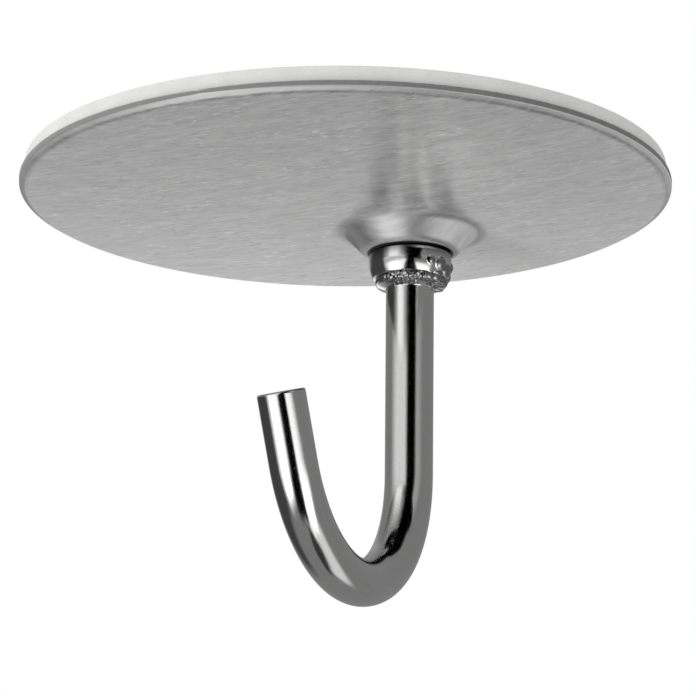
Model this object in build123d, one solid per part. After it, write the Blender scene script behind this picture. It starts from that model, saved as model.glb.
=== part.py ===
from build123d import *
import math
import os

# Adhesive ceiling hook: a foam disc, a round sheet-metal backplate and a hook of round bar.
# Millimetres. +Z points up to the ceiling. The origin is the centre of the adhesive face.
# +X runs from the plate's centre to the pressed cone, and the tip of the hook points towards -X.

# Foam pad
pad_diameter = 63.0
pad_thickness = 1.6

# Backplate: blanked and pressed from one round of sheet
plate_diameter = 64.0
sheet_thickness = 1.0
rim_roll = 0.5

# The pressed cone that the hook is riveted to
cone_depth = 2.35
cone_floor_radius = 4.6
cone_wall_angle = 46.0
cone_bend_radius = 0.45
cone_skirt = 1.5

# The bar and its bend
bar_diameter = 4.76
shank_length = 22.85
bend_radius = 14.1
bend_angle = 155.0
tip_length = 7.0
tip_chamfer = 0.3
hook_turn = 2.6

# The collar on the bar, a slice of a ball seated on the floor of the cone
collar_radius = 4.12
collar_height = 2.95
collar_waist_height = 1.0

# The rough bead where the collar and the bar are joined
bead_height = 0.8
lump_radius = 0.7
heavy_lump_radius = 1.25
lump_bed = 0.35
lump_spacing = 45.0
lumps_each_side = 1
heavy_side = -75.0

# The tenon through the cone and its peened head
tenon_diameter = 3.3
tenon_clearance = 0.05
head_diameter = 6.4
head_top_diameter = 3.6
head_height = 1.25
head_edge_height = 0.5

# Heights, from the adhesive face down
plate_back_z = -pad_thickness
plate_face_z = plate_back_z - sheet_thickness
cone_floor_z = plate_face_z - cone_depth
cone_recess_z = cone_floor_z + sheet_thickness
bend_start_z = cone_floor_z - shank_length

bar_radius = bar_diameter / 2
tenon_radius = tenon_diameter / 2

# The shank stands off the centre by the radius of its bend,
# so that what hangs in the bottom of the bend pulls on the middle of the plate.
# As riveted, the hook is turned a little from the line to the plate's centre.
shank_axis = Pos(bend_radius, 0, 0)
riveted = shank_axis * Rot(0, 0, hook_turn)


def foam_pad():
    """Die-cut foam disc, adhesive on both faces."""
    return Cylinder(pad_diameter / 2, pad_thickness, align=(Align.CENTER, Align.CENTER, Align.MAX))


def cone_profile():
    """Section of the pressed cone: the sheet's lower line with its two bends, and one thickness above it
    the plain corners of the recess that the foam covers."""
    wall_run = cone_depth / math.tan(math.radians(cone_wall_angle))
    base_radius = cone_floor_radius + wall_run
    skirt_radius = base_radius + cone_skirt
    corner_shift = sheet_thickness * math.tan(math.radians(cone_wall_angle / 2))
    hole_radius = tenon_radius + tenon_clearance
    outer_bend = cone_bend_radius + sheet_thickness
    lower = FilletPolyline(
        (hole_radius, cone_floor_z),
        (cone_floor_radius, cone_floor_z),
        (base_radius, plate_face_z),
        (skirt_radius, plate_face_z),
        radius=[outer_bend, cone_bend_radius],
    )
    upper = Polyline(
        (hole_radius, cone_recess_z),
        (cone_floor_radius - corner_shift, cone_recess_z),
        (base_radius - corner_shift, plate_back_z),
        (skirt_radius, plate_back_z),
    )
    ends = Line(lower @ 0, upper @ 0) + Line(lower @ 1, upper @ 1)
    return make_face(Plane.XZ * (lower + upper + ends)), skirt_radius


def disc_profile():
    """Half section of the flat disc, with the edge that blanking rolls over on the lower side."""
    plate_radius = plate_diameter / 2
    roll = CenterArc((plate_radius - rim_roll, plate_face_z + rim_roll), rim_roll, 270, 90)
    rest = Polyline(roll @ 1, (plate_radius, plate_back_z), (0, plate_back_z), (0, plate_face_z), roll @ 0)
    return make_face(Plane.XZ * (roll + rest))


def backplate():
    """Round of sheet with a rolled edge, and one cone pressed down to carry the hook."""
    disc = revolve(disc_profile(), Axis.Z, 360)
    profile, skirt_radius = cone_profile()
    opening = shank_axis * Pos(0, 0, plate_back_z) * Cylinder(skirt_radius, 2 * sheet_thickness)
    cone = shank_axis * revolve(profile, Axis.Z, 360)
    return disc - opening + cone


def stud():
    """Turned on its own axis: peened head, tenon, barrel-shaped collar and its sloping underside."""
    head_top_z = cone_recess_z + head_height
    head_edge_z = cone_recess_z + head_edge_height
    bead_end_z = cone_floor_z - collar_height - bead_height
    seat_radius = math.sqrt(collar_radius**2 - collar_waist_height**2)
    underside_radius = math.sqrt(collar_radius**2 - (collar_height - collar_waist_height) ** 2)
    top = Polyline(
        (0, head_top_z),
        (head_top_diameter / 2, head_top_z),
        (head_diameter / 2, head_edge_z),
        (head_diameter / 2, cone_recess_z),
        (tenon_radius, cone_recess_z),
        (tenon_radius, cone_floor_z),
        (seat_radius, cone_floor_z),
    )
    barrel = ThreePointArc(
        top @ 1,
        (collar_radius, cone_floor_z - collar_waist_height),
        (underside_radius, cone_floor_z - collar_height),
    )
    inside = Polyline(barrel @ 1, (bar_radius, bead_end_z), (0, bead_end_z), top @ 0)
    return revolve(make_face(Plane.XZ * (top + barrel + inside)), Axis.Z, 360)


def bar():
    """Round bar on one path: straight shank, one bend towards -X, and a short straight tip cut square."""
    shank = Line((0, cone_floor_z - collar_waist_height), (0, bend_start_z))
    bend = JernArc(shank @ 1, shank % 1, bend_radius, -bend_angle)
    tip = Line(bend @ 1, bend @ 1 + tip_length * (bend % 1))
    path = Plane.XZ * (shank + bend + tip)
    section = Plane(origin=path @ 0, z_dir=path % 0) * Circle(bar_radius)
    rod = sweep(section, path=path)
    tip_edge = rod.edges().filter_by(GeomType.CIRCLE).sort_by_distance(path @ 1)[0]
    return chamfer(tip_edge, tip_chamfer)


def bead():
    """Lumps bedded in the corner between the bar and the collar, largest in the middle of the heavy side."""
    lumps = []
    for i in range(-lumps_each_side, lumps_each_side + 1):
        share = abs(i) / (lumps_each_side + 1)
        size = heavy_lump_radius + (lump_radius - heavy_lump_radius) * share
        reach = bar_radius + size * (1 - lump_bed)
        height = cone_floor_z - collar_height + size * lump_bed
        turn = Rot(0, 0, heavy_side + i * lump_spacing)
        lumps.append(turn * Pos(reach, 0, height) * Sphere(size))
    return lumps


def hook():
    """One piece: the bar, its collar and bead, and the tenon riveted through the backplate."""
    return riveted * (stud() + bar() + bead())


os.makedirs("parts", exist_ok=True)
for name, solid in {"foam_pad": foam_pad(), "backplate": backplate(), "hook": hook()}.items():
    export_step(solid, f"parts/{name}.step")
    print(f"{name}: {solid.volume:.1f} mm3, {len(solid.solids())} solid")
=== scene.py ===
# %% [markdown]
# # An adhesive ceiling hook
# The real thing is three pieces. A die-cut disc of white foam sticks to the ceiling. A round of brushed
# steel sheet is glued to the foam, with one shallow cone pressed down in it. A polished steel hook is
# riveted to the floor of that cone. The solids come packed in a frame, and this script gives each of
# them a finer mesh in the same place and a finish of its own.

# %% Load the frame
import math

import bmesh
import bpy
from mathutils import Matrix, Vector, noise


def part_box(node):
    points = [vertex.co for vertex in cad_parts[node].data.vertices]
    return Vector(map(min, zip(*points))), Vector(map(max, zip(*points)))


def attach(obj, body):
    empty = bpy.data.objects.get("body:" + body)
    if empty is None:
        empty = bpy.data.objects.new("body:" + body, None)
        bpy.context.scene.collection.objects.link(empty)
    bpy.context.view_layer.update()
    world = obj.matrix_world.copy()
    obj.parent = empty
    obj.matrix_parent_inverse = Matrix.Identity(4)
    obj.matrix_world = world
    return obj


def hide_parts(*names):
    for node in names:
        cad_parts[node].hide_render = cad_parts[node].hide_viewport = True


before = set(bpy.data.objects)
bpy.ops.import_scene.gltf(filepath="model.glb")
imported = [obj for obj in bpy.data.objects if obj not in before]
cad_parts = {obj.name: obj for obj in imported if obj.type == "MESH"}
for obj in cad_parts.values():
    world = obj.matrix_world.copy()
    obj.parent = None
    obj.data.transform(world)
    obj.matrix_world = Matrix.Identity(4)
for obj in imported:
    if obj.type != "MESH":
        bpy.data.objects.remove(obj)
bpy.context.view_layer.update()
MM = 0.001

# %% [markdown]
# ## Sizes
# The foam and the plate are discs, so their sizes are read from the frame's boxes. The hook's bends can't
# be read from a box, so its real sizes are named here, in millimetres, as someone would measure them with
# calipers: the bar, the bend, the collar and the rough bead under it.

# %% Sizes of the pieces
pad_low, pad_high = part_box("foam_pad")
plate_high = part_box("backplate")[1]
PAD_RADIUS = pad_high.x / MM
PAD_THICKNESS = -pad_low.z / MM
PLATE_RADIUS = plate_high.x / MM
SHEET = 1.0
RIM_ROLL_ACROSS, RIM_ROLL_UP = 0.68, 0.42
RIM_CREASE, RIM_LIP, RIM_BURR = 1.3, 0.2, 0.1
RIM_FLAT = 2.0
PLATE_BACK_Z = -PAD_THICKNESS
PLATE_FACE_Z = PLATE_BACK_Z - SHEET

CONE_DEPTH = 2.35
CONE_FLOOR_RADIUS = 4.6
CONE_WALL_ANGLE = math.radians(46.0)
CONE_BEND_RADIUS = 0.45
CONE_BASE_SOFTNESS = 1.7
CONE_SKIRT = 1.5
CONE_FLOOR_Z = PLATE_FACE_Z - CONE_DEPTH
CONE_RECESS_Z = CONE_FLOOR_Z + SHEET
HOLE_RADIUS = 1.7

BAR_RADIUS = 2.38
SHANK_LENGTH = 22.85
BEND_RADIUS = 14.1
BEND_ANGLE = math.radians(155.0)
TIP_LENGTH = 7.0
TIP_ROUNDING = 0.22
TIP_SLANT, TIP_SLANT_WAY = math.radians(5.5), math.radians(-26.0)
TIP_SPARE = 0.5
HOOK_TURN = math.radians(2.6)
SHANK_X = BEND_RADIUS
BEND_START_Z = CONE_FLOOR_Z - SHANK_LENGTH
print("plate radius", round(PLATE_RADIUS, 2), "foam", round(PAD_THICKNESS, 2), "bend starts at", BEND_START_Z)

# %% [markdown]
# ## Sections and turned meshes
# All three pieces are round about one axis or another, so each starts as a section: a line of points, with
# a small arc at each corner. No real corner is perfectly sharp, and the arcs are what catch the light. A
# point is kept just before and after each arc, so that the smooth shading of the arc doesn't leak over the
# flat beside it. The section is then turned round into rings of points joined by quads.

# %% Section with rounded corners
HOLD = 0.06
TINY = 1e-6


def arc_points(start, middle, end, count):
    """Points on the circle through three points, without the first one."""
    (x1, y1), (x2, y2), (x3, y3) = start, middle, end
    twice = 2 * (x1 * (y2 - y3) + x2 * (y3 - y1) + x3 * (y1 - y2))
    s1, s2, s3 = x1 * x1 + y1 * y1, x2 * x2 + y2 * y2, x3 * x3 + y3 * y3
    cx = (s1 * (y2 - y3) + s2 * (y3 - y1) + s3 * (y1 - y2)) / twice
    cy = (s1 * (x3 - x2) + s2 * (x1 - x3) + s3 * (x2 - x1)) / twice
    radius = math.hypot(x1 - cx, y1 - cy)
    first = math.atan2(y1 - cy, x1 - cx)
    sweep = (math.atan2(y3 - cy, x3 - cx) - first + math.pi) % (2 * math.pi) - math.pi
    return [(cx + radius * math.cos(first + sweep * i / count),
             cy + radius * math.sin(first + sweep * i / count)) for i in range(1, count + 1)]


def rounded(points, steps=5):
    """Section line (radius, height, rounding) with an arc of `steps` spans at each rounded corner."""
    line = []
    for i, (r, z, rounding) in enumerate(points):
        here = Vector((r, z))
        if not rounding or i in (0, len(points) - 1):
            line.append((r, z))
            continue
        back = Vector(points[i - 1][:2]) - here
        ahead = Vector(points[i + 1][:2]) - here
        half_turn = back.angle(ahead) / 2
        reach = rounding / math.tan(half_turn)
        start = here + back.normalized() * reach
        end = here + ahead.normalized() * reach
        bisector = (back.normalized() + ahead.normalized()).normalized()
        middle = here + bisector * (rounding / math.sin(half_turn) - rounding)
        hold = min(HOLD, (back.length - reach) / 3, (ahead.length - reach) / 3)
        line.append(tuple(start + back.normalized() * hold))
        line.append(tuple(start))
        line += arc_points(tuple(start), tuple(middle), tuple(end), steps)
        line.append(tuple(end + ahead.normalized() * hold))
    return line


def subdivided(line, longest):
    """The same line with its long spans divided."""
    out = [line[0]]
    for (r0, z0), (r1, z1) in zip(line, line[1:]):
        spans = max(1, math.ceil(math.hypot(r1 - r0, z1 - z0) / longest))
        out += [(r0 + (r1 - r0) * k / spans, z0 + (z1 - z0) * k / spans) for k in range(1, spans + 1)]
    return out


# %% [markdown]
# A turned mesh could be spun from its section with Blender's own tools. Writing the rings out keeps each
# point where the section says, closes the poles with triangles, and gives every corner its place on the
# unrolled surface, which the marks along the bar are drawn on later.

# %% Turn rings into a mesh
def turned_mesh(name, rings, around, loop=False):
    """Mesh of rings (centre x, radius, height) in millimetres; a ring of no radius is a pole.
    Its UV map runs round the piece in U and along the section in V, in millimetres."""
    mesh = bpy.data.meshes.new(name)
    work = bmesh.new()
    rows = []
    for centre, radius, height in rings:
        if radius < TINY:
            rows.append([work.verts.new((centre * MM, 0, height * MM))] * around)
            continue
        turns = [2 * math.pi * k / around for k in range(around)]
        rows.append([work.verts.new(((centre + radius * math.cos(t)) * MM, radius * math.sin(t) * MM,
                                     height * MM)) for t in turns])
    along = [0.0]
    for (c0, r0, z0), (c1, r1, z1) in zip(rings, rings[1:]):
        along.append(along[-1] + math.hypot(c1 + r1 - c0 - r0, z1 - z0))
    uv = work.loops.layers.uv.new("turned")
    typical = max(r for _, r, _ in rings) if loop else BAR_RADIUS
    last = len(rows) if loop else len(rows) - 1
    for i in range(last):
        j = (i + 1) % len(rows)
        for k in range(around):
            m = (k + 1) % around
            corners = [rows[i][k], rows[i][m], rows[j][m], rows[j][k]]
            places = [(k, i), (k + 1, i), (k + 1, j), (k, j)]
            kept = [(v, p) for n, (v, p) in enumerate(zip(corners, places)) if v not in corners[:n]]
            face = work.faces.new([v for v, _ in kept])
            face.smooth = True
            for corner, (_, (turn, row)) in zip(face.loops, kept):
                corner[uv].uv = (2 * math.pi * typical * turn / around, along[row])
    bmesh.ops.recalc_face_normals(work, faces=work.faces)
    work.to_mesh(mesh)
    work.free()
    piece = bpy.data.objects.new(name, mesh)
    bpy.context.scene.collection.objects.link(piece)
    print(name, "has", len(mesh.polygons), "faces")
    return piece


# %% [markdown]
# ## Foam pad
# Such pads are punched out of a sheet of closed-cell foam tape, so the wall is nearly straight, a little
# squeezed in the middle where the punch pressed it, and never quite even. A plain disc would look like
# card. The wall gets several rows of points and a slight wobble from two sizes of noise, and the cells
# themselves are too fine for the mesh and come with the material.

# %% Make the foam pad
PAD_AROUND = 360
PAD_SPAN = 8.0
PAD_WALL_ROWS = 8
PAD_EDGE = 0.12
PAD_PINCH, PAD_WOBBLE, PAD_SOFT_BAND = 0.05, 0.06, 1.0
COARSE_UNEVEN, FINE_UNEVEN = 6.0, 0.8

pad_section = rounded([
    (0, 0, 0),
    (PAD_RADIUS, 0, PAD_EDGE),
    (PAD_RADIUS, -PAD_THICKNESS, PAD_EDGE),
    (0, -PAD_THICKNESS, 0),
], steps=3)
pad_rings = [(0, r, z) for r, z in subdivided(pad_section, PAD_SPAN)]
wall_top = max(i for i, (_, r, z) in enumerate(pad_rings)
               if r > PAD_RADIUS - TINY and z > -PAD_THICKNESS / 2)
top_z, low_z = pad_rings[wall_top][2], pad_rings[wall_top + 1][2]
wall = [(0, PAD_RADIUS, top_z + (low_z - top_z) * k / PAD_WALL_ROWS) for k in range(1, PAD_WALL_ROWS)]
pad_rings[wall_top + 1:wall_top + 1] = wall
foam_pad = turned_mesh("foam_disc", pad_rings, PAD_AROUND)
for vertex in foam_pad.data.vertices:
    radius = math.hypot(vertex.co.x, vertex.co.y) / MM
    if radius > PAD_RADIUS - PAD_SOFT_BAND:
        depth = -vertex.co.z / MM / PAD_THICKNESS
        coarse = noise.noise(vertex.co / (COARSE_UNEVEN * MM))
        fine = noise.noise(vertex.co / (FINE_UNEVEN * MM))
        inward = PAD_PINCH * math.sin(math.pi * depth) + PAD_WOBBLE * max(0, 0.3 + 0.5 * coarse + 0.2 * fine)
        shrink = (radius - inward * (radius - PAD_RADIUS + PAD_SOFT_BAND)) / radius
        vertex.co.x *= shrink
        vertex.co.y *= shrink
print("foam wall rows:", PAD_WALL_ROWS)

# %% [markdown]
# ## Backplate
# The plate is blanked from sheet, which rolls its lower edge over, and pressed once to make the cone. Its
# rings run from the hole in the cone's floor out to the rim and back over the top. The cone stands off the
# centre, so between the skirt of the cone and the rim each ring's centre slides from the cone's axis to the
# plate's. That makes one clean sheet of quads, with no seam where the press met the flat.

# %% Make the backplate
PLATE_AROUND = 320
PLATE_FLAT_ROWS = 16
CONE_SPAN = 0.8

wall_run = CONE_DEPTH / math.tan(CONE_WALL_ANGLE)
cone_base = CONE_FLOOR_RADIUS + wall_run
corner_shift = SHEET * math.tan(CONE_WALL_ANGLE / 2)
skirt = cone_base + CONE_SKIRT
lower_line = rounded([
    (HOLE_RADIUS, CONE_FLOOR_Z, 0),
    (CONE_FLOOR_RADIUS, CONE_FLOOR_Z, CONE_BEND_RADIUS + SHEET),
    (cone_base, PLATE_FACE_Z, CONE_BASE_SOFTNESS),
    (skirt, PLATE_FACE_Z, 0),
], steps=10)
rim_line = rounded([
    (PLATE_RADIUS - RIM_FLAT, PLATE_FACE_Z, 0),
    (PLATE_RADIUS - RIM_ROLL_ACROSS, PLATE_FACE_Z, RIM_CREASE),
    (PLATE_RADIUS, PLATE_FACE_Z + RIM_ROLL_UP, RIM_LIP),
    (PLATE_RADIUS, PLATE_BACK_Z, RIM_BURR),
    (PLATE_RADIUS - RIM_FLAT, PLATE_BACK_Z, 0),
], steps=8)
upper_line = rounded([
    (skirt, PLATE_BACK_Z, 0),
    (cone_base - corner_shift, PLATE_BACK_Z, CONE_BEND_RADIUS),
    (CONE_FLOOR_RADIUS - corner_shift, CONE_RECESS_Z, CONE_BEND_RADIUS),
    (HOLE_RADIUS, CONE_RECESS_Z, 0),
], steps=6)


def sliding(first, last, height, count):
    """Rings whose centre and radius slide between two given ones, on the flat at one height."""
    (c0, r0), (c1, r1) = first, last
    return [(c0 + (c1 - c0) * k / count, r0 + (r1 - r0) * k / count, height) for k in range(1, count)]


cone_ring, rim_ring = (SHANK_X, skirt), (0, PLATE_RADIUS - RIM_FLAT)
plate_rings = [(SHANK_X, r, z) for r, z in subdivided(lower_line, CONE_SPAN)]
plate_rings += sliding(cone_ring, rim_ring, PLATE_FACE_Z, PLATE_FLAT_ROWS)
plate_rings += [(0, r, z) for r, z in rim_line]
plate_rings += sliding(rim_ring, cone_ring, PLATE_BACK_Z, PLATE_FLAT_ROWS)
plate_rings += [(SHANK_X, r, z) for r, z in subdivided(upper_line, CONE_SPAN)]
backplate = turned_mesh("brushed_plate", plate_rings, PLATE_AROUND, loop=True)

# %% [markdown]
# ## Hook blank
# Such a hook gets its collar and its tenon while it is still a straight bar. The barrel-shaped collar seats
# on the cone, and the tenon goes through the plate, where its end is peened over into a head. The mesh too
# starts as a straight blank on the shank's axis, with close rings where the rough bead will be, and it is
# bent afterwards.

# %% Turn the straight blank
HOOK_AROUND = 224
BEAD_SPAN, BAR_SPAN = 0.07, 0.5
CRISP, HEAD_ROUNDING = 0.04, 0.4
HEAD_RADIUS, HEAD_TOP_RADIUS, TENON_RADIUS = 3.2, 1.8, 1.65
HEAD_HEIGHT, HEAD_EDGE_HEIGHT = 1.25, 0.5
HEAD_TOP_Z, HEAD_EDGE_Z = CONE_RECESS_Z + HEAD_HEIGHT, CONE_RECESS_Z + HEAD_EDGE_HEIGHT
COLLAR_RADIUS, BARREL_RADIUS = 4.12, 4.0
COLLAR_WAIST_Z = CONE_FLOOR_Z - 0.9
GROOVE_RADIUS, GROOVE_HEIGHT, GROOVE_DRAFT, GROOVE_CORNER = 3.7, 0.24, 0.02, 0.03
BARREL_TOP_Z, BARREL_LOW_Z = CONE_FLOOR_Z - GROOVE_HEIGHT, CONE_FLOOR_Z - 2.48
SHOULDER_Z, SHOULDER_ROUNDING = BARREL_TOP_Z - 0.3, 0.1
BARREL_ROWS = 40
LIP_IN, LIP_UP, LIP_ROUNDING = 0.12, 0.08, 0.22
NOTCH_RADIUS, NOTCH_Z, NOTCH_CORNER = 3.3, CONE_FLOOR_Z - 2.82, 0.03
BEAD_TOP_RADIUS, BEAD_TOP_Z, BEAD_CORNER = 3.5, NOTCH_Z - 0.14, 0.06
BEAD_LOW_RADIUS, BEAD_LOW_Z, BEAD_ROUNDING = 3.4, CONE_FLOOR_Z - 3.35, 0.35
BEAD_END_Z, BEAD_TO_BAR = CONE_FLOOR_Z - 3.8, 0.2
PLAIN_BAR_Z = BEAD_END_Z - 1.0
PLAIN_TIP = 1.0


def barrel_radius(z):
    """Radius of the barrel at a height: an arc across the axis, widest at its waist."""
    return COLLAR_RADIUS - BARREL_RADIUS + math.sqrt(BARREL_RADIUS ** 2 - (z - COLLAR_WAIST_Z) ** 2)


bend_end_z = BEND_START_Z - BEND_RADIUS * BEND_ANGLE
blank_end_z = bend_end_z - TIP_LENGTH
top_line = rounded([
    (0, HEAD_TOP_Z, 0),
    (HEAD_TOP_RADIUS, HEAD_TOP_Z, HEAD_ROUNDING),
    (HEAD_RADIUS, HEAD_EDGE_Z, HEAD_ROUNDING),
    (HEAD_RADIUS, CONE_RECESS_Z, CRISP),
    (TENON_RADIUS, CONE_RECESS_Z, CRISP),
    (TENON_RADIUS, CONE_FLOOR_Z, CRISP),
    (GROOVE_RADIUS, CONE_FLOOR_Z, CRISP),
    (GROOVE_RADIUS + GROOVE_DRAFT, BARREL_TOP_Z, GROOVE_CORNER),
    (barrel_radius(BARREL_TOP_Z), BARREL_TOP_Z, SHOULDER_ROUNDING),
    (barrel_radius(SHOULDER_Z), SHOULDER_Z, 0),
])
barrel = []
for row in range(1, BARREL_ROWS + 1):
    z = SHOULDER_Z + (BARREL_LOW_Z - SHOULDER_Z) * row / BARREL_ROWS
    barrel.append((barrel_radius(z), z))
under_line = rounded([
    barrel[-1] + (0,),
    (barrel_radius(BARREL_LOW_Z) - LIP_IN, NOTCH_Z + LIP_UP, LIP_ROUNDING),
    (NOTCH_RADIUS, NOTCH_Z, NOTCH_CORNER),
    (BEAD_TOP_RADIUS, BEAD_TOP_Z, BEAD_CORNER),
    (BEAD_LOW_RADIUS, BEAD_LOW_Z, BEAD_ROUNDING),
    (BAR_RADIUS, BEAD_END_Z, BEAD_TO_BAR),
    (BAR_RADIUS, PLAIN_BAR_Z, 0),
])
bar_line = [(BAR_RADIUS, PLAIN_BAR_Z), (BAR_RADIUS, blank_end_z + PLAIN_TIP)]
end_line = rounded([
    (BAR_RADIUS, blank_end_z + PLAIN_TIP, 0),
    (BAR_RADIUS, blank_end_z, TIP_ROUNDING),
    (0, blank_end_z, 0),
], steps=7)
blank_section = (top_line + barrel + subdivided(under_line, BEAD_SPAN)[1:]
                 + subdivided(bar_line, BAR_SPAN)[1:] + end_line[1:])
hook = turned_mesh("polished_hook", [(0, r, z) for r, z in blank_section], HOOK_AROUND)
print("blank is", round(HEAD_TOP_Z - blank_end_z, 1), "mm long before bending")

# %% [markdown]
# The tip was cropped a few degrees off square, so that its end face hides from the side that the picture
# is taken from. Below the bend's end the blank is sheared a little more with every millimetre.

# %% Slant the cropped tip
for vertex in hook.data.vertices:
    past = bend_end_z - vertex.co.z / MM
    if past > 0:
        toward = vertex.co.x / MM * math.cos(TIP_SLANT_WAY) + vertex.co.y / MM * math.sin(TIP_SLANT_WAY)
        vertex.co.z -= MM * math.tan(TIP_SLANT) * (toward + TIP_SPARE) * past / TIP_LENGTH
print("tip slants by", round(math.degrees(TIP_SLANT), 1), "degrees")

# %% [markdown]
# ## Rough bead
# Under the collar the real hook has a rough bead, in lumps that stand out less than a millimetre, with the
# largest on one side, where they climb the collar. Lumps could be modelled one by one, but a surface that
# carries a random pattern is what Geometry Nodes are for. The tree pushes each point of the blank outwards
# by a cell pattern inside a band, adds a few round lumps on the heavy side, and keeps the strength of the
# bead as an attribute, so that the material can be duller there.

# %% Helpers for node trees
def node(tree, kind, **values):
    """New node, with its settings given by name."""
    made = tree.nodes.new(kind)
    for key, value in values.items():
        setattr(made, key, value)
    return made


def feed(tree, target, *sources, **named):
    """Connects or sets the inputs of a node by place, then by name."""
    pairs = list(enumerate(sources)) + [(k.replace("_", " "), v) for k, v in named.items()]
    for place, source in pairs:
        if isinstance(source, bpy.types.NodeSocket):
            tree.links.new(source, target.inputs[place])
        elif isinstance(source, bpy.types.Node):
            tree.links.new(source.outputs[0], target.inputs[place])
        else:
            target.inputs[place].default_value = source
    return target


def sums(tree, operation, *sources):
    """A Math node with its inputs, returned as its output."""
    return feed(tree, node(tree, "ShaderNodeMath", operation=operation), *sources).outputs[0]


def ramp(tree, value, low, high, out_low=0.0, out_high=1.0):
    """A smooth step of value from low to high."""
    made = node(tree, "ShaderNodeMapRange", interpolation_type="SMOOTHSTEP")
    return feed(tree, made, value, low, high, out_low, out_high).outputs[0]


def socket(tree, name, kind, value=None, out=False):
    """Named input or output of a node group."""
    made = tree.interface.new_socket(name=name, in_out="OUTPUT" if out else "INPUT", socket_type=kind)
    if value is not None:
        made.default_value = value


# %% [markdown]
# The lumps are listed one by one: how many degrees each stands from the side that faces the picture, its
# height, and its size. The bedding is the part of each lump that is sunk in the collar.

# %% The rough bead tree
VIEW_SIDE = -155.2
LUMPS = [(31, -6.6, 0.7), (50, -6.75, 1.15), (34, -8.1, 0.85), (50, -8.0, 1.1), (69, -7.3, 1.3),
         (86, -8.1, 1.1), (84, -6.6, 0.9), (108, -7.2, 1.1), (112, -8.3, 0.8)]
LUMP_BED = 0.74
BEAD_FADE_TOP, BEAD_FADE_LOW = 0.12, 0.25


def rough_bead_tree():
    tree = bpy.data.node_groups.new("rough_bead", "GeometryNodeTree")
    tree.is_modifier = True
    socket(tree, "Geometry", "NodeSocketGeometry")
    for name, value in {"Grain Size": 0.6, "Grain Height": 0.15, "Top": -7.7, "Bottom": -8.7, "Wander": 0.2,
                        "Rough Side": 0.0, "Bedding": 0.6, "Seed": 0.0}.items():
        socket(tree, name, "NodeSocketFloat", value)
    socket(tree, "Material", "NodeSocketMaterial")
    socket(tree, "Geometry", "NodeSocketGeometry", out=True)
    given = node(tree, "NodeGroupInput").outputs
    place = node(tree, "GeometryNodeInputPosition").outputs[0]
    in_mm = feed(tree, node(tree, "ShaderNodeVectorMath", operation="SCALE"), place)
    in_mm.inputs["Scale"].default_value = 1 / MM
    parts = feed(tree, node(tree, "ShaderNodeSeparateXYZ"), in_mm).outputs
    uneven = feed(tree, node(tree, "ShaderNodeTexNoise", noise_dimensions="4D"), in_mm, given["Seed"], 0.9)
    wander = sums(tree, "MULTIPLY", sums(tree, "SUBTRACT", uneven.outputs[0], 0.5), given["Wander"])
    below_top = sums(tree, "SUBTRACT", sums(tree, "ADD", given["Top"], wander), parts[2])
    lower = ramp(tree, sums(tree, "SUBTRACT", parts[2], given["Bottom"]), 0.0, BEAD_FADE_LOW)
    facing = sums(tree, "COSINE", sums(tree, "SUBTRACT", sums(tree, "ARCTAN2", parts[1], parts[0]),
                                       given["Rough Side"]))
    upper = ramp(tree, below_top, 0.0, BEAD_FADE_TOP)
    band = sums(tree, "MULTIPLY", sums(tree, "MULTIPLY", upper, lower), ramp(tree, facing, -0.1, 0.35))
    cells = node(tree, "ShaderNodeTexVoronoi", voronoi_dimensions="4D", feature="SMOOTH_F1")
    cells.inputs["Smoothness"].default_value = 0.15
    tree.links.new(in_mm.outputs[0], cells.inputs["Vector"])
    tree.links.new(given["Seed"], cells.inputs["W"])
    tree.links.new(sums(tree, "DIVIDE", 1.0, given["Grain Size"]), cells.inputs["Scale"])
    hollow = sums(tree, "MULTIPLY", sums(tree, "POWER", cells.outputs["Distance"], 2.0), 2.0)
    dome = sums(tree, "SUBTRACT", 1.0, hollow)
    rise = sums(tree, "MULTIPLY", sums(tree, "MULTIPLY", dome, given["Grain Height"]), band)
    lumped = 0.0
    for side, lump_z, size in LUMPS:
        turn = math.radians(VIEW_SIDE + side)
        radius = barrel_radius(lump_z) if lump_z > BARREL_LOW_Z else BEAD_TOP_RADIUS
        gap = node(tree, "ShaderNodeVectorMath", operation="DISTANCE")
        tree.links.new(in_mm.outputs[0], gap.inputs[0])
        gap.inputs[1].default_value = (radius * math.cos(turn), radius * math.sin(turn), lump_z)
        squared = sums(tree, "SUBTRACT", size ** 2, sums(tree, "POWER", gap.outputs["Value"], 2.0))
        cap = sums(tree, "SQRT", sums(tree, "MAXIMUM", squared, 0.0))
        cap = sums(tree, "SUBTRACT", cap, sums(tree, "MULTIPLY", size, given["Bedding"]))
        lumped = sums(tree, "MAXIMUM", lumped, cap)
    rise = sums(tree, "MAXIMUM", rise, lumped)
    mask = sums(tree, "MAXIMUM", band, ramp(tree, lumped, 0.0, 0.1))
    push = feed(tree, node(tree, "ShaderNodeVectorMath", operation="SCALE"),
                node(tree, "GeometryNodeInputNormal").outputs[0])
    tree.links.new(sums(tree, "MULTIPLY", rise, MM), push.inputs["Scale"])
    kept = node(tree, "GeometryNodeStoreNamedAttribute", data_type="FLOAT", domain="POINT")
    kept.inputs["Name"].default_value = "bead"
    tree.links.new(given["Geometry"], kept.inputs["Geometry"])
    tree.links.new(mask, kept.inputs["Value"])
    moved = node(tree, "GeometryNodeSetPosition")
    tree.links.new(kept.outputs[0], moved.inputs["Geometry"])
    tree.links.new(push.outputs[0], moved.inputs["Offset"])
    real = feed(tree, node(tree, "GeometryNodeRealizeInstances"), moved)
    painted = feed(tree, node(tree, "GeometryNodeSetMaterial"), real)
    tree.links.new(given["Material"], painted.inputs["Material"])
    feed(tree, node(tree, "NodeGroupOutput"), painted)
    return tree


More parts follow.
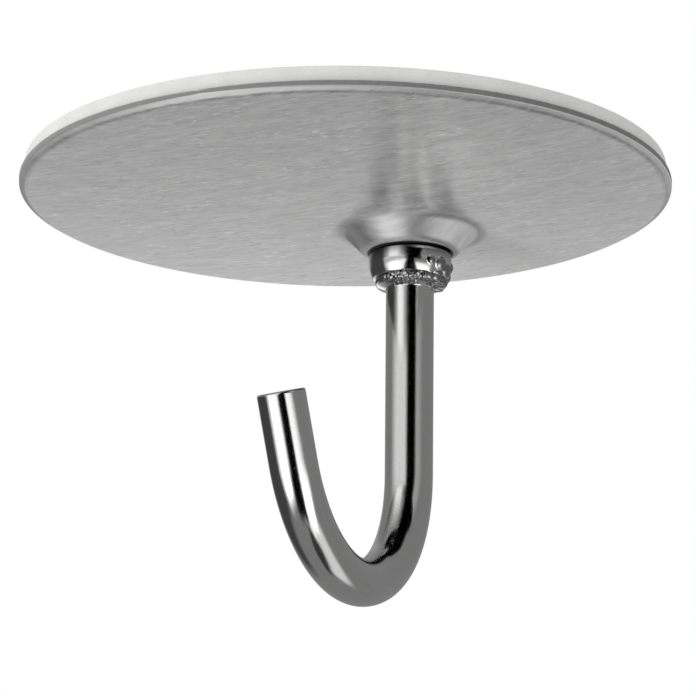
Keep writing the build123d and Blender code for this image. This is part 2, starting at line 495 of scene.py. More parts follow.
# %% [markdown]
# ## Cold bend
# The bar is bent round a former, through a little less than a half turn. The tree does the same to the
# straight blank: what lies below the start of the bend is carried round the former's centre, and what is
# left over past the full angle goes on straight as the tip. Bending a finished blank, instead of sweeping a
# circle along a path, keeps the collar and the lengthwise marks of the bar true to each other.

# %% The cold bend tree
def cold_bend_tree():
    tree = bpy.data.node_groups.new("cold_bend", "GeometryNodeTree")
    tree.is_modifier = True
    socket(tree, "Geometry", "NodeSocketGeometry")
    for name, value in {"Start": -0.03, "Radius": 0.01, "Angle": 2.0}.items():
        socket(tree, name, "NodeSocketFloat", value)
    socket(tree, "Material", "NodeSocketMaterial")
    socket(tree, "Geometry", "NodeSocketGeometry", out=True)
    given = node(tree, "NodeGroupInput").outputs
    parts = feed(tree, node(tree, "ShaderNodeSeparateXYZ"), node(tree, "GeometryNodeInputPosition")).outputs
    depth = sums(tree, "MAXIMUM", sums(tree, "SUBTRACT", given["Start"], parts[2]), 0.0)
    turn = sums(tree, "MINIMUM", sums(tree, "DIVIDE", depth, given["Radius"]), given["Angle"])
    spare = sums(tree, "SUBTRACT", depth, sums(tree, "MULTIPLY", turn, given["Radius"]))
    above = sums(tree, "MAXIMUM", sums(tree, "SUBTRACT", parts[2], given["Start"]), 0.0)
    reach = sums(tree, "ADD", parts[0], given["Radius"])
    cosine, sine = sums(tree, "COSINE", turn), sums(tree, "SINE", turn)
    new_x = sums(tree, "SUBTRACT", sums(tree, "MULTIPLY", reach, cosine), given["Radius"])
    new_x = sums(tree, "SUBTRACT", new_x, sums(tree, "MULTIPLY", spare, sine))
    new_z = sums(tree, "SUBTRACT", given["Start"], sums(tree, "MULTIPLY", reach, sine))
    new_z = sums(tree, "SUBTRACT", new_z, sums(tree, "MULTIPLY", spare, cosine))
    new_z = sums(tree, "ADD", new_z, above)
    moved = node(tree, "GeometryNodeSetPosition")
    tree.links.new(given["Geometry"], moved.inputs["Geometry"])
    tree.links.new(feed(tree, node(tree, "ShaderNodeCombineXYZ"), new_x, parts[1], new_z).outputs[0],
                   moved.inputs["Position"])
    real = feed(tree, node(tree, "GeometryNodeRealizeInstances"), moved)
    painted = feed(tree, node(tree, "GeometryNodeSetMaterial"), real)
    tree.links.new(given["Material"], painted.inputs["Material"])
    feed(tree, node(tree, "NodeGroupOutput"), painted)
    return tree


# %% [markdown]
# A tree is put on the blank as a modifier, with its inputs set by the sockets' identifiers. The shape that
# comes out is then kept as a plain mesh, so the finished hook needs no modifier, and it is set on the
# shank's axis with the small turn that it got in the riveting.

# %% Run the trees and keep their result as a plain mesh
BEAD_GRAIN, BEAD_HEIGHT, BEAD_WANDER, BEAD_SEED = 0.55, 0.2, 0.3, 3.7
BEAD_RUN_OUT, BEAD_SIDE = 0.15, 30


def shape_by_nodes(piece, jobs):
    """Adds one modifier for each (tree, inputs), then makes the result the piece's own mesh."""
    for tree, inputs in jobs:
        modifier = piece.modifiers.new(tree.name, "NODES")
        modifier.node_group = tree
        for item in tree.interface.items_tree:
            if item.item_type == "SOCKET" and item.in_out == "INPUT" and item.name in inputs:
                modifier[item.identifier] = inputs[item.name]
    graph = bpy.context.evaluated_depsgraph_get()
    shaped = bpy.data.meshes.new_from_object(piece.evaluated_get(graph))
    piece.modifiers.clear()
    piece.data = shaped
    shaped.name = piece.name


polished_bar = bpy.data.materials.new("polished_bar_steel")
shape_by_nodes(hook, [
    (rough_bead_tree(), {"Grain Size": BEAD_GRAIN, "Grain Height": BEAD_HEIGHT, "Top": NOTCH_Z,
                         "Bottom": BEAD_END_Z - BEAD_RUN_OUT, "Wander": BEAD_WANDER, "Bedding": LUMP_BED,
                         "Rough Side": math.radians(VIEW_SIDE + BEAD_SIDE), "Seed": BEAD_SEED,
                         "Material": polished_bar}),
    (cold_bend_tree(), {"Start": BEND_START_Z * MM, "Radius": BEND_RADIUS * MM, "Angle": BEND_ANGLE,
                        "Material": polished_bar}),
])
hook.data.transform(Matrix.Translation((SHANK_X * MM, 0, 0)) @ Matrix.Rotation(HOOK_TURN, 4, "Z"))
lowest = min(v.co.z for v in hook.data.vertices)
print("hook's lowest point", round(lowest / MM, 2), "mm")

# %% [markdown]
# ## Fine scratches
# Both metals carry stray scratches from handling, so the effect is one node group used by both: noise drawn
# out along a given direction, of which only the peaks are marked. It puts out a mask, and each material
# decides what the mask does to its colour, roughness and bump.

# %% Node group for fine scratches
def fine_scratches_group():
    tree = bpy.data.node_groups.new("fine_scratches", "ShaderNodeTree")
    socket(tree, "Vector", "NodeSocketVector")
    for name, value in {"Along": 3.0, "Across": 0.12, "Rarity": 0.8, "Seed": 0.0}.items():
        socket(tree, name, "NodeSocketFloat", value)
    socket(tree, "Mask", "NodeSocketFloat", out=True)
    given = node(tree, "NodeGroupInput").outputs
    parts = feed(tree, node(tree, "ShaderNodeSeparateXYZ"), given["Vector"]).outputs
    along = sums(tree, "DIVIDE", parts[0], given["Along"])
    across = sums(tree, "DIVIDE", parts[1], given["Across"])
    third = sums(tree, "DIVIDE", parts[2], given["Along"])
    grid = feed(tree, node(tree, "ShaderNodeCombineXYZ"), along, across, third)
    pattern = node(tree, "ShaderNodeTexNoise", noise_dimensions="4D")
    tree.links.new(grid.outputs[0], pattern.inputs["Vector"])
    tree.links.new(given["Seed"], pattern.inputs["W"])
    pattern.inputs["Scale"].default_value = 1.0
    pattern.inputs["Detail"].default_value = 2.0
    over = sums(tree, "SUBTRACT", pattern.outputs[0], given["Rarity"])
    mask = sums(tree, "MULTIPLY", over, 12.0)
    clipped = node(tree, "ShaderNodeClamp")
    tree.links.new(mask, clipped.inputs[0])
    feed(tree, node(tree, "NodeGroupOutput"), clipped)
    return tree


fine_scratches = fine_scratches_group()
print("fine scratches:", len(fine_scratches.nodes), "nodes")

# %% [markdown]
# The three materials share some small helpers too: object coordinates in millimetres, so that every size
# in a material is a real one, a fine relief, a mix of two greys, and noise drawn out into streaks.

# %% Helpers for materials
def place_group(tree, group, **named):
    """The node group placed in a material's tree, with its inputs."""
    made = node(tree, "ShaderNodeGroup")
    made.node_tree = group
    return feed(tree, made, **named)


def millimetres(tree, turn=0.0):
    """Object coordinates in millimetres, turned about the vertical so that X runs with the grain."""
    place = node(tree, "ShaderNodeTexCoord").outputs["Object"]
    mapping = node(tree, "ShaderNodeMapping", vector_type="POINT")
    tree.links.new(place, mapping.inputs["Vector"])
    mapping.inputs["Rotation"].default_value = (0, 0, -turn)
    mapping.inputs["Scale"].default_value = (1 / MM,) * 3
    return mapping.outputs[0]


def fresh(material):
    """The material's tree with a Principled shader and an output."""
    material.use_nodes = True
    tree = material.node_tree
    tree.nodes.clear()
    shader = node(tree, "ShaderNodeBsdfPrincipled")
    feed(tree, node(tree, "ShaderNodeOutputMaterial"), shader)
    return tree, shader


def bumped(tree, shader, height, strength, depth):
    """Fine relief in the shader's normal, so many millimetres deep."""
    bump = node(tree, "ShaderNodeBump")
    bump.inputs["Strength"].default_value = strength
    bump.inputs["Distance"].default_value = depth * MM
    tree.links.new(height, bump.inputs["Height"])
    tree.links.new(bump.outputs[0], shader.inputs["Normal"])


def mixed(tree, amount, low, high):
    """A colour between two greys or colours; sockets 6 and 7 are the node's two colours."""
    made = node(tree, "ShaderNodeMix", data_type="RGBA")
    tree.links.new(amount, made.inputs[0])
    for place, colour in ((6, low), (7, high)):
        if isinstance(colour, bpy.types.NodeSocket):
            tree.links.new(colour, made.inputs[place])
        else:
            made.inputs[place].default_value = tuple(colour) + (1,)
    return made.outputs[2]


def streaks(tree, vector, along, across, seed, detail=3.0):
    """Noise drawn out along X: values about 0.5."""
    scaled = node(tree, "ShaderNodeMapping", vector_type="POINT")
    tree.links.new(vector, scaled.inputs["Vector"])
    scaled.inputs["Scale"].default_value = (1 / along, 1 / across, 1 / along)
    pattern = node(tree, "ShaderNodeTexNoise", noise_dimensions="4D")
    tree.links.new(scaled.outputs[0], pattern.inputs["Vector"])
    pattern.inputs["W"].default_value = seed
    pattern.inputs["Scale"].default_value = 1.0
    pattern.inputs["Detail"].default_value = detail
    return pattern.outputs[0]


# %% [markdown]
# ## Brushed sheet
# The plate's finish is straight brushing, all in one direction, put on before the cone was pressed: the
# lines run on over the cone. Two things make it look brushed. The highlights smear across the grain, which
# is the shader's anisotropy with its tangent laid across the grain. And the lines themselves show, as
# streaks of slightly different grey, gloss and height at three widths.

# %% Grain of the backplate
GRAIN_TURN = math.radians(-88.6)
GRAIN_BOW = 0.0022


def sheet_grain(tree):
    """Place in millimetres along, across and up from the grain, which bows a little over the plate."""
    straight = feed(tree, node(tree, "ShaderNodeSeparateXYZ"), millimetres(tree, GRAIN_TURN)).outputs
    bow = sums(tree, "MULTIPLY", sums(tree, "MULTIPLY", straight[0], straight[0]), GRAIN_BOW)
    bowed = sums(tree, "ADD", straight[1], bow)
    return feed(tree, node(tree, "ShaderNodeCombineXYZ"), straight[0], bowed, straight[2]).outputs[0]


def sheet_lines(tree, grain):
    """Brushed lines of three widths added up: values about 0.5."""
    broad = streaks(tree, grain, 7.0, 1.1, 1.3)
    middle = streaks(tree, grain, 2.4, 0.34, 4.1)
    fine = streaks(tree, grain, 1.1, 0.13, 7.7)
    thin = sums(tree, "ADD", sums(tree, "MULTIPLY", middle, 0.7), sums(tree, "MULTIPLY", fine, 0.3))
    return sums(tree, "ADD", sums(tree, "MULTIPLY", thin, 0.7), sums(tree, "MULTIPLY", broad, 0.3))


def distance_from(tree, place, centre):
    """Distance of a place from a centre."""
    apart = node(tree, "ShaderNodeVectorMath", operation="DISTANCE")
    tree.links.new(place, apart.inputs[0])
    apart.inputs[1].default_value = centre
    return apart.outputs["Value"]


# %% [markdown]
# Over the lines lie the marks of use: bright nicks that come in groups, and small worn places. The rolled
# rim and the pressed cone have fewer marks and are duller, because the tool rubbed them. The cone's floor
# carries painted shade: a ring of it round the collar is painted near black, where the collar sits on it.

# %% Material of the backplate
SHEET_DARK, SHEET_LIGHT = (0.53, 0.53, 0.53), (0.74, 0.74, 0.735)
WORN_GREY, NICK_GREY = (0.46, 0.46, 0.46), (0.92, 0.92, 0.92)
# The near-black grey below is painted shade for the cone's floor round the collar, not a colour of the steel.
PRESSED_GREY, SEAT_PAINTED_SHADE = (0.4, 0.4, 0.4), (0.05, 0.05, 0.05)
SEAT_FROM, SEAT_TO = 4.15, 4.4


def brushed_sheet_material():
    material = bpy.data.materials.new("brushed_sheet_steel")
    tree, shader = fresh(material)
    grain = sheet_grain(tree)
    lines = sheet_lines(tree, grain)
    groups = ramp(tree, streaks(tree, grain, 6.0, 2.4, 9.9), 0.42, 0.6)
    nicks = place_group(tree, fine_scratches, Vector=grain, Along=1.3, Across=0.24, Rarity=0.57, Seed=2.0)
    worn = place_group(tree, fine_scratches, Vector=grain, Along=1.5, Across=0.28, Rarity=0.6, Seed=6.0)
    place = millimetres(tree)
    flat = feed(tree, node(tree, "ShaderNodeVectorMath", operation="MULTIPLY"), place, (1, 1, 0)).outputs[0]
    rim = ramp(tree, distance_from(tree, flat, (0, 0, 0)), PLATE_RADIUS - RIM_ROLL_ACROSS, PLATE_RADIUS - 0.2)
    from_floor = distance_from(tree, place, (SHANK_X, 0, CONE_FLOOR_Z))
    pressed = ramp(tree, from_floor, cone_base + 0.5, cone_base + CONE_SKIRT, 1.0, 0.0)
    # Painted shade: this ring of the cone's floor, just outside the collar, is darkened where the collar
    # meets it.
    seat_painted_shade = ramp(tree, from_floor, SEAT_FROM, SEAT_TO, 1.0, 0.0)
    plain = sums(tree, "SUBTRACT", 1.0, sums(tree, "MAXIMUM", rim, sums(tree, "MULTIPLY", pressed, 0.7)))
    nicked = sums(tree, "MULTIPLY", sums(tree, "MULTIPLY", nicks.outputs[0], groups), plain)

    quiet = sums(tree, "SUBTRACT", 1.0, sums(tree, "MULTIPLY", rim, 0.6))
    tone = sums(tree, "MULTIPLY", ramp(tree, lines, 0.35, 0.65), quiet)
    tone = sums(tree, "ADD", tone, sums(tree, "MULTIPLY", rim, 0.3))
    steel = mixed(tree, tone, SHEET_DARK, SHEET_LIGHT)
    steel = mixed(tree, sums(tree, "MULTIPLY", worn.outputs[0], plain), steel, WORN_GREY)
    steel = mixed(tree, nicked, steel, NICK_GREY)
    steel = mixed(tree, sums(tree, "MULTIPLY", pressed, 0.4), steel, PRESSED_GREY)
    # The painted shade round the collar goes over everything else.
    steel = mixed(tree, seat_painted_shade, steel, SEAT_PAINTED_SHADE)
    tree.links.new(steel, shader.inputs["Base Color"])

    duller = sums(tree, "ADD", sums(tree, "MULTIPLY", rim, 0.26), sums(tree, "MULTIPLY", pressed, 0.12))
    gloss = sums(tree, "ADD", ramp(tree, lines, 0.3, 0.7, 0.27, 0.37), duller)
    tree.links.new(gloss, shader.inputs["Roughness"])
    shader.inputs["Metallic"].default_value = 1.0
    shader.inputs["Anisotropic"].default_value = 0.92
    across = feed(tree, node(tree, "ShaderNodeCombineXYZ"), -math.sin(GRAIN_TURN), math.cos(GRAIN_TURN), 0.0)
    tree.links.new(across.outputs[0], shader.inputs["Tangent"])
    height = sums(tree, "ADD", lines, sums(tree, "MULTIPLY", nicked, 0.6))
    bumped(tree, shader, height, 0.35, 0.03)
    return material


backplate.data.materials.append(brushed_sheet_material())
print("brushed sheet:", len(backplate.data.materials[0].node_tree.nodes), "nodes")

# %% [markdown]
# ## Polished bar
# The hook is polished, so its look is nearly all reflections, and small faults are what make it steel and
# not a mirror ball: a fine mottle left by the buffing wheel, faint marks drawn along the bar, and a duller,
# darker bead. The lengthwise marks read the UV map that was made on the straight blank. The collar's top,
# where it meets the cone, has painted shade that darkens towards the cone, and a painted black shadow in
# the groove at its very top.

# %% Material of the hook
BAR_DARK, BAR_LIGHT = (0.59, 0.59, 0.585), (0.64, 0.64, 0.635)
# The last two greys below are painted shade: a dark grey for the collar's top and black for the shadow in its
# groove.
BEAD_GREY, SHOULDER_PAINTED_SHADE, GROOVE_PAINTED_SHADOW = (0.27, 0.27, 0.27), (0.22, 0.22, 0.22), (0.03, 0.03, 0.03)
SHOULDER_SHADE, GROOVE_SHADE = 1.1, 0.06


def polished_bar_material(material):
    tree, shader = fresh(material)
    place = millimetres(tree)
    unrolled = node(tree, "ShaderNodeUVMap")
    unrolled.uv_map = "turned"
    around = feed(tree, node(tree, "ShaderNodeSeparateXYZ"), unrolled.outputs[0]).outputs
    lengthwise = feed(tree, node(tree, "ShaderNodeCombineXYZ"), around[1], around[0], 0.0)
    drawn = streaks(tree, lengthwise.outputs[0], 9.0, 0.12, 3.3, 2.0)
    scratched = place_group(tree, fine_scratches, Vector=place, Along=0.9, Across=0.1, Rarity=0.72, Seed=5.0)
    mottle = node(tree, "ShaderNodeTexNoise")
    tree.links.new(place, mottle.inputs["Vector"])
    mottle.inputs["Scale"].default_value = 3.2
    mottle.inputs["Detail"].default_value = 4.0
    bead = node(tree, "ShaderNodeAttribute")
    bead.attribute_name = "bead"
    mask = ramp(tree, bead.outputs["Fac"], 0.2, 0.9)
    tone = sums(tree, "ADD", sums(tree, "MULTIPLY", drawn, 0.5),
                sums(tree, "MULTIPLY", mottle.outputs[0], 0.5))
    steel = mixed(tree, ramp(tree, tone, 0.3, 0.7), BAR_DARK, BAR_LIGHT)
    steel = mixed(tree, mask, steel, BEAD_GREY)
    up = feed(tree, node(tree, "ShaderNodeSeparateXYZ"), place).outputs[2]
    # Painted shade: the collar darkens over its top 1.1 mm towards the cone, and the thin band at its very
    # top is painted black as the groove's shadow.
    steel = mixed(tree, ramp(tree, up, BARREL_TOP_Z - SHOULDER_SHADE, BARREL_TOP_Z), steel, SHOULDER_PAINTED_SHADE)
    steel = mixed(tree, ramp(tree, up, BARREL_TOP_Z - GROOVE_SHADE, BARREL_TOP_Z), steel, GROOVE_PAINTED_SHADOW)
    tree.links.new(steel, shader.inputs["Base Color"])
    gloss = ramp(tree, tone, 0.3, 0.7, 0.09, 0.15)
    gloss = sums(tree, "ADD", gloss, sums(tree, "MULTIPLY", mask, 0.12))
    gloss = sums(tree, "ADD", gloss, sums(tree, "MULTIPLY", scratched.outputs[0], 0.1))
    tree.links.new(gloss, shader.inputs["Roughness"])
    shader.inputs["Metallic"].default_value = 1.0
    height = sums(tree, "ADD", sums(tree, "MULTIPLY", mottle.outputs[0], 0.6),
                  sums(tree, "MULTIPLY", drawn, 0.4))
    bumped(tree, shader, height, 0.12, 0.02)


polished_bar_material(polished_bar)
print("polished bar:", len(polished_bar.node_tree.nodes), "nodes")

# %% [markdown]
# ## Foam
# Closed-cell foam tape is pale grey-white and quite matte. Cut cells make fine pits, a fifth of a
# millimetre or so across, and faint clouds of grey keep the foam from looking like paint.

# %% Material of the foam
FOAM_DARK, FOAM_LIGHT = (0.76, 0.76, 0.75), (0.83, 0.83, 0.82)


def foam_material():
    material = bpy.data.materials.new("foam_closed_cell")
    tree, shader = fresh(material)
    place = millimetres(tree)
    cells = node(tree, "ShaderNodeTexVoronoi", feature="F1")
    tree.links.new(place, cells.inputs["Vector"])
    cells.inputs["Scale"].default_value = 6.0
    clouds = node(tree, "ShaderNodeTexNoise")
    tree.links.new(place, clouds.inputs["Vector"])
    clouds.inputs["Scale"].default_value = 0.35
    clouds.inputs["Detail"].default_value = 4.0
    tone = sums(tree, "ADD", sums(tree, "MULTIPLY", clouds.outputs[0], 0.7),
                sums(tree, "MULTIPLY", cells.outputs["Distance"], 0.3))
    colour = mixed(tree, ramp(tree, tone, 0.3, 0.75), FOAM_DARK, FOAM_LIGHT)
    tree.links.new(colour, shader.inputs["Base Color"])
    tree.links.new(ramp(tree, tone, 0.3, 0.75, 0.8, 0.95), shader.inputs["Roughness"])
    shader.inputs["Specular IOR Level"].default_value = 0.25
    bumped(tree, shader, cells.outputs["Distance"], 0.3, 0.06)
    return material


foam_pad.data.materials.append(foam_material())
print("foam:", len(foam_pad.data.materials[0].node_tree.nodes), "nodes")

# %% [markdown]
# ## What each piece stands for
# Every piece rides on the part's one body and stands in for its solid, which is hidden.

# %% Tie the pieces to the frame
for piece, solid, slot in ((foam_pad, "foam_pad", "foam"), (backplate, "backplate", "brushed_sheet"),
                           (hook, "hook", "polished_bar")):
    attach(piece, "root")
    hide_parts(solid)
print("three pieces ride on the root")

# %% [markdown]
# ## Camera
# The picture looks up at the hook from a little below, so the underside of the plate shows as a wide
# ellipse. A long lens nearly a metre away keeps that ellipse as flat as a catalogue picture has it.

# %% Set the camera
CAMERA_DISTANCE = 0.96
CAMERA_AZIMUTH = math.radians(-62.63)
CAMERA_ELEVATION = math.radians(-17.91)
CAMERA_AIM = Vector((0.18, -0.34, -18.54)) * MM
CAMERA_ROLL = math.radians(0.467)
CAMERA_SENSOR, CAMERA_LENS = 36.0, 506.0

toward_camera = Vector((math.sin(CAMERA_AZIMUTH), -math.cos(CAMERA_AZIMUTH), 0))
camera = bpy.data.objects.new("camera", bpy.data.cameras.new("camera"))
bpy.context.scene.collection.objects.link(camera)
camera.location = CAMERA_DISTANCE * (toward_camera * math.cos(CAMERA_ELEVATION)
                                     + Vector((0, 0, math.sin(CAMERA_ELEVATION))))
look = (CAMERA_AIM - camera.location).normalized()
camera.rotation_mode = "QUATERNION"
roll = Matrix.Rotation(CAMERA_ROLL, 4, "Z").to_quaternion()
camera.rotation_quaternion = look.to_track_quat("-Z", "Y") @ roll
camera.data.sensor_width, camera.data.lens = CAMERA_SENSOR, CAMERA_LENS
camera.data.clip_start, camera.data.clip_end = 0.05, 20.0
bpy.context.scene.camera = camera
print("camera at", [round(v, 3) for v in camera.location])

# %% [markdown]
# ## Light, flags and floor
# Polished metal shows the room around it, so lighting it means building that room. The background and the
# floor are white and even. Two soft lamps and some glowing cards give the long white reflections, and black
# and grey cards, as a photographer would hang them, give the dark ones. The cards show in reflections only,
# so they take no light from the foam and cast no shadow. Places in that room are given by the bearing from
# the camera towards image right, and by the height above the horizon, both in degrees.

# %% Bearings round the hook
CARD_DISTANCE = 0.5
image_right = Vector((-toward_camera.y, toward_camera.x, 0))
hook_middle = Vector((0, 0, -20 * MM))


def bearing(azimuth, elevation, distance=CARD_DISTANCE):
    """Point at a distance from the hook, at a bearing from the camera and a height above the horizon."""
    a, e = math.radians(azimuth), math.radians(elevation)
    way = toward_camera * math.cos(a) + image_right * math.sin(a)
    return hook_middle + distance * (way * math.cos(e) + Vector((0, 0, math.sin(e))))


def spaced(first, last, longest=3):
    """Values from first to last, no further apart than the longest step."""
    count = max(2, math.ceil((last - first) / longest))
    return [first + (last - first) * i / count for i in range(count + 1)]


def fade(distance, width):
    """Rises from nothing to all over a width."""
    return min(1, distance / width) if width else 1


print("hook's middle at", [round(v / MM) for v in hook_middle], "mm")

# %% [markdown]
# A card is a sheet of quads with a plain glow. Real cards have hard edges, but in a curved mirror a hard
# edge looks cut with a knife, so each point of a card says how solid it is there, and the card fades out
# towards its sides. It can be clear from behind, and it can be clear at a slant, like a card behind a grid.

# %% One card
GRID_FULL, GRID_CLEAR = 0.36, 0.52


def card_of(name, rows, shares, level, one_sided=False, gridded=False):
    """Staged card of an even grey from rows of points, seen in reflections only.
    Its shares say how solid it is at each point."""
    mesh = bpy.data.meshes.new(name)
    work = bmesh.new()
    rows = [[work.verts.new(point) for point in row] for row in rows]
    for this, following in zip(rows, rows[1:]):
        for k in range(len(this) - 1):
            work.faces.new((this[k], this[k + 1], following[k + 1], following[k]))
    work.to_mesh(mesh)
    work.free()
    mesh.attributes.new("share", "FLOAT", "POINT").data.foreach_set("value", shares)
    made = bpy.data.objects.new(name, mesh)
    bpy.context.scene.collection.objects.link(made)
    material = bpy.data.materials.new(name)
    material.use_nodes = True
    tree = material.node_tree
    tree.nodes.clear()
    glow = node(tree, "ShaderNodeEmission")
    glow.inputs["Strength"].default_value = level
    kept = node(tree, "ShaderNodeAttribute")
    kept.attribute_name = "share"
    solid = kept.outputs["Fac"]
    if one_sided:
        front = sums(tree, "SUBTRACT", 1.0, node(tree, "ShaderNodeNewGeometry").outputs["Backfacing"])
        solid = sums(tree, "MULTIPLY", solid, front)
    if gridded:
        slant = node(tree, "ShaderNodeLayerWeight").outputs["Facing"]
        solid = sums(tree, "MULTIPLY", solid, ramp(tree, slant, GRID_FULL, GRID_CLEAR, 1.0, 0.0))
    clear = node(tree, "ShaderNodeBsdfTransparent")
    blend = feed(tree, node(tree, "ShaderNodeMixShader"), solid, clear, glow)
    feed(tree, node(tree, "ShaderNodeOutputMaterial"), blend)
    material.cycles.emission_sampling = "NONE"
    mesh.materials.append(material)
    made.visible_camera = made.visible_diffuse = made.visible_shadow = made.visible_transmission = False


# %% [markdown]
# Three kinds of card hang in the room. Far cards are patches of a ball round the hook, one outside the
# other. Near cards lie close under the plate and are seen from below only, and the gridded ones leave the
# shank's reflections alone and darken the inside of the bend. The low card lies behind the bend and is
# seen from above only, so it lights the plate's face and stays out of the bar.

# %% The three kinds of card
CARD_MARGIN, LOW_CARD_SPAN = 1, 5


def far_card(name, left, right, bottom, top, level, soft, flare, distance):
    """Card from one bearing and height to another. It fades away over so many degrees at its left, right,
    lower and upper side, and widens downwards by the flare."""
    bearings, heights = spaced(left, right), spaced(bottom, top)
    middle = (bottom + top) / 2
    rows = [[bearing(b * (1 + flare * (middle - h)), h, distance) for b in bearings] for h in heights]
    shares = [fade(b - left, soft[0]) * fade(right - b, soft[1]) * fade(h - bottom, soft[2])
              * fade(top - h, soft[3]) for h in heights for b in bearings]
    card_of(name, rows, shares, level)


def near_card(name, left, right, inner, reach, height, level, soft, gridded=False):
    """Card held close under the plate round the shank, between two distances from it or out to the rim."""
    bearings, rows, shares = spaced(left, right), [], []
    for part in spaced(0, 1, 0.1):
        row = []
        for turn in bearings:
            a = math.radians(turn)
            way = toward_camera * math.cos(a) + image_right * math.sin(a)
            across = way.x * SHANK_X
            edge = math.sqrt(across ** 2 - SHANK_X ** 2 + (PLATE_RADIUS - CARD_MARGIN) ** 2) - across
            out = inner + (min(edge, reach) - inner) * part
            row.append((Vector((SHANK_X, 0, height)) + way * out) * MM)
            solid = fade(turn - left, soft[0]) * fade(right - turn, soft[1]) * fade(1 - part, soft[2])
            shares.append(solid)
        rows.append(row)
    card_of(name, rows, shares, level, one_sided=True, gridded=gridded)


def low_card(name, side, near, far, height, level, soft):
    """Level card behind the hook, as wide as twice its side, from one distance away to another. It fades
    away over so many millimetres at its sides, its near end and its far end."""
    crossings = spaced(-side, side, LOW_CARD_SPAN)
    places = [(away, across) for away in spaced(near, far, LOW_CARD_SPAN) for across in crossings]
    points = [(image_right * across - toward_camera * away + Vector((0, 0, height))) * MM
              for away, across in places]
    rows = [points[k:k + len(crossings)] for k in range(0, len(points), len(crossings))]
    shares = [fade(side - abs(across), soft[0]) * fade(away - near, soft[1]) * fade(far - away, soft[2])
              for away, across in places]
    card_of(name, rows, shares, level, one_sided=True)


# %% [markdown]
# The numbers below were found one by one: each bright or dark band in the picture was traced back from
# the bar to the bearing it comes from, and a card was hung there. A far card's values are its left, right,
# lower and upper edge, its brightness, how softly those four edges fade, and its flare.

# %% Hang the cards
UNDER_PLATE, UNDER_BEAD = PLATE_FACE_Z - 0.4, BEAD_END_Z - 0.4
near_card("black_grid_bead", 0, 360, BAR_RADIUS + 0.3, 9, UNDER_BEAD, 0.0, (0, 0, 0.2), gridded=True)
near_card("black_grid_rim", -14, 68, skirt, 60, UNDER_PLATE - 0.3, 0.0, (12, 12, 0), gridded=True)
near_card("black_grid_near", 30, 168, skirt, 22, UNDER_PLATE - 0.1, 0.0, (10, 10, 0.25), gridded=True)
near_card("black_flag_near", -13, 34, skirt, 60, UNDER_PLATE - 0.2, 0.0, (12, 9, 0))
near_card("grey_card_near", 28, 120, skirt, 60, UNDER_PLATE, 0.28, (8, 12, 0))
low_card("light_card_low", 95, 62, 260, -39, 1.42, (20, 70, 30))

FAR_CARDS = [
    ("black_flag_high", -21, 36, -4, 89, 0.0, (14, 10, 0, 0), 0),
    ("black_flag_low", -29, 26.5, -72, -4, 0.0, (12, 5, 10, 0), 0.016),
    ("glow_left", -84, -8, -58, 0, 1.5, (18, 0, 10, 10), 0),
    ("glow_right", 4, 69, -70, -11, 1.55, (0, 12, 8, 8), 0),
    ("white_band_right", 60, 134, -69, -32, 0.95, (8, 8, 10, 10), 0),
    ("grey_stripe", 28, 66, -4, 60, 0.48, (0, 18, 14, 20), 0),
    ("dark_card_left", -160, -80, -50, 14, 0.07, (14, 0, 12, 6), 0),
    ("light_card_left", -98, 10, -8, 54, 0.95, (32, 0, 16, 28), 0),
    ("dark_card_under", 10, 158, -89.5, -62, 0.05, (12, 12, 0, 6), 0),
    ("grey_sky_left", -180, -150, -2, 60, 0.4, (16, 10, 2, 20), 0),
    ("grey_sky", -180, 180, -2, 89.5, 0.27, (0, 0, 0, 0), 0),
    ("grey_ground", -180, 180, -89.5, -2, 0.27, (0, 0, 0, 0), 0),
]
FIRST_GAP, CARD_GAP = 0.025, 0.005
for order, values in enumerate(FAR_CARDS):
    far_card(*values, distance=CARD_DISTANCE + FIRST_GAP + CARD_GAP * order)
print(len(FAR_CARDS), "far cards")

# %% [markdown]
# Cards are seen in the metal and light nothing matte. Two large soft lamps, one at each side of the camera,
# light the foam too. The power of each is worked out from its area and from how bright it should look.

# %% Lamps
def soft_lamp(name, left, right, bottom, top, level):
    """Rectangular soft lamp filling that part of the surroundings, at a given brightness."""
    centre = bearing((left + right) / 2, (bottom + top) / 2)
    width = 2 * CARD_DISTANCE * math.tan(math.radians(right - left) / 2)
    tall = 2 * CARD_DISTANCE * math.tan(math.radians(top - bottom) / 2)
    data = bpy.data.lights.new(name, "AREA")
    data.shape = "RECTANGLE"
    data.size, data.size_y = width, tall
    data.energy = level * math.pi * width * tall
    lamp = bpy.data.objects.new(name, data)
    bpy.context.scene.collection.objects.link(lamp)
    lamp.location = centre
    lamp.rotation_mode = "QUATERNION"
    lamp.rotation_quaternion = (hook_middle - centre).to_track_quat("-Z", "Y")
    lamp.visible_camera = False


soft_lamp("soft_lamp_left", -64, -34, -50, -10, 1.65)
soft_lamp("soft_lamp_right", 36, 60, -52, -24, 1.65)

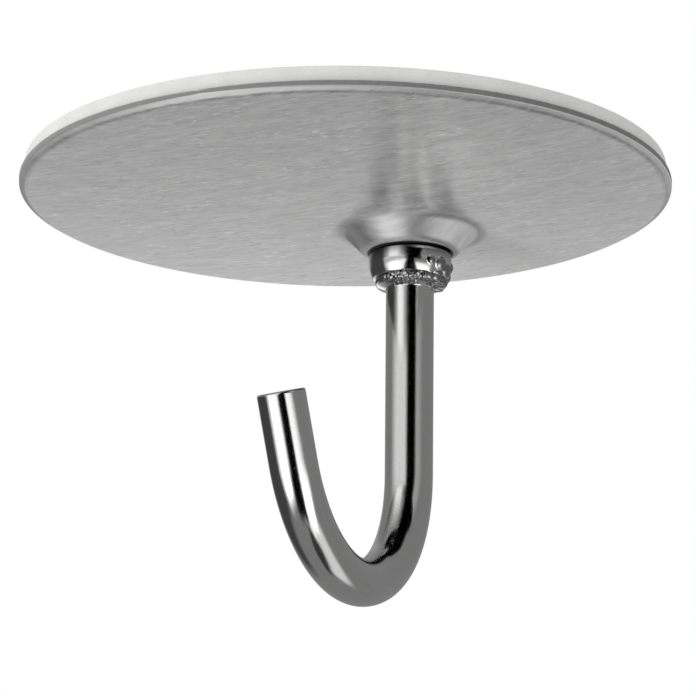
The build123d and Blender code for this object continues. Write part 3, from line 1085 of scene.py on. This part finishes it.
# %% [markdown]
# The white background is what the camera sees. The light that falls on the foam is another matter: it comes
# mostly from the left, so the world asks of each ray what it is, and only the rays that carry light over
# matte surfaces get the uneven brightness. The floor lies far below, out of the hook's way.

# %% World and floor
FLOOR_Z = -1.5
FLOOR_RADIUS = 4.0
LEVEL_LEFT, LEVEL_RIGHT = 1.12, 0.4

world = bpy.data.worlds.new("white_room")
bpy.context.scene.world = world
world.use_nodes = True
world.cycles.sampling_method = "NONE"
tree = world.node_tree
tree.nodes.clear()
ray = node(tree, "ShaderNodeLightPath").outputs
seen = sums(tree, "MAXIMUM", ray["Is Camera Ray"],
            sums(tree, "MAXIMUM", ray["Is Glossy Ray"], ray["Is Transmission Ray"]))
direction = node(tree, "ShaderNodeTexCoord").outputs["Generated"]
sideways = node(tree, "ShaderNodeVectorMath", operation="DOT_PRODUCT")
tree.links.new(direction, sideways.inputs[0])
sideways.inputs[1].default_value = tuple(image_right)
daylight = node(tree, "ShaderNodeMapRange")
feed(tree, daylight, sideways.outputs["Value"], -1.0, 1.0, LEVEL_LEFT, LEVEL_RIGHT)
brightness = node(tree, "ShaderNodeMix")
tree.links.new(seen, brightness.inputs[0])
tree.links.new(daylight.outputs[0], brightness.inputs[2])
brightness.inputs[3].default_value = 1.0
white = node(tree, "ShaderNodeBackground")
white.inputs["Color"].default_value = (1, 1, 1, 1)
tree.links.new(brightness.outputs[0], white.inputs["Strength"])
feed(tree, node(tree, "ShaderNodeOutputWorld"), white)

floor_mesh = bpy.data.meshes.new("floor")
work = bmesh.new()
bmesh.ops.create_circle(work, cap_ends=True, segments=96, radius=FLOOR_RADIUS)
work.to_mesh(floor_mesh)
work.free()
floor_mesh.transform(Matrix.Translation((0, 0, FLOOR_Z)))
floor = bpy.data.objects.new("floor", floor_mesh)
bpy.context.scene.collection.objects.link(floor)
paper = bpy.data.materials.new("floor_paper")
tree, shader = fresh(paper)
shader.inputs["Base Color"].default_value = (0.93, 0.93, 0.93, 1)
shader.inputs["Roughness"].default_value = 0.95
floor_mesh.materials.append(paper)

bpy.context.scene.view_settings.view_transform = "Standard"
print("floor at", FLOOR_Z, "m")
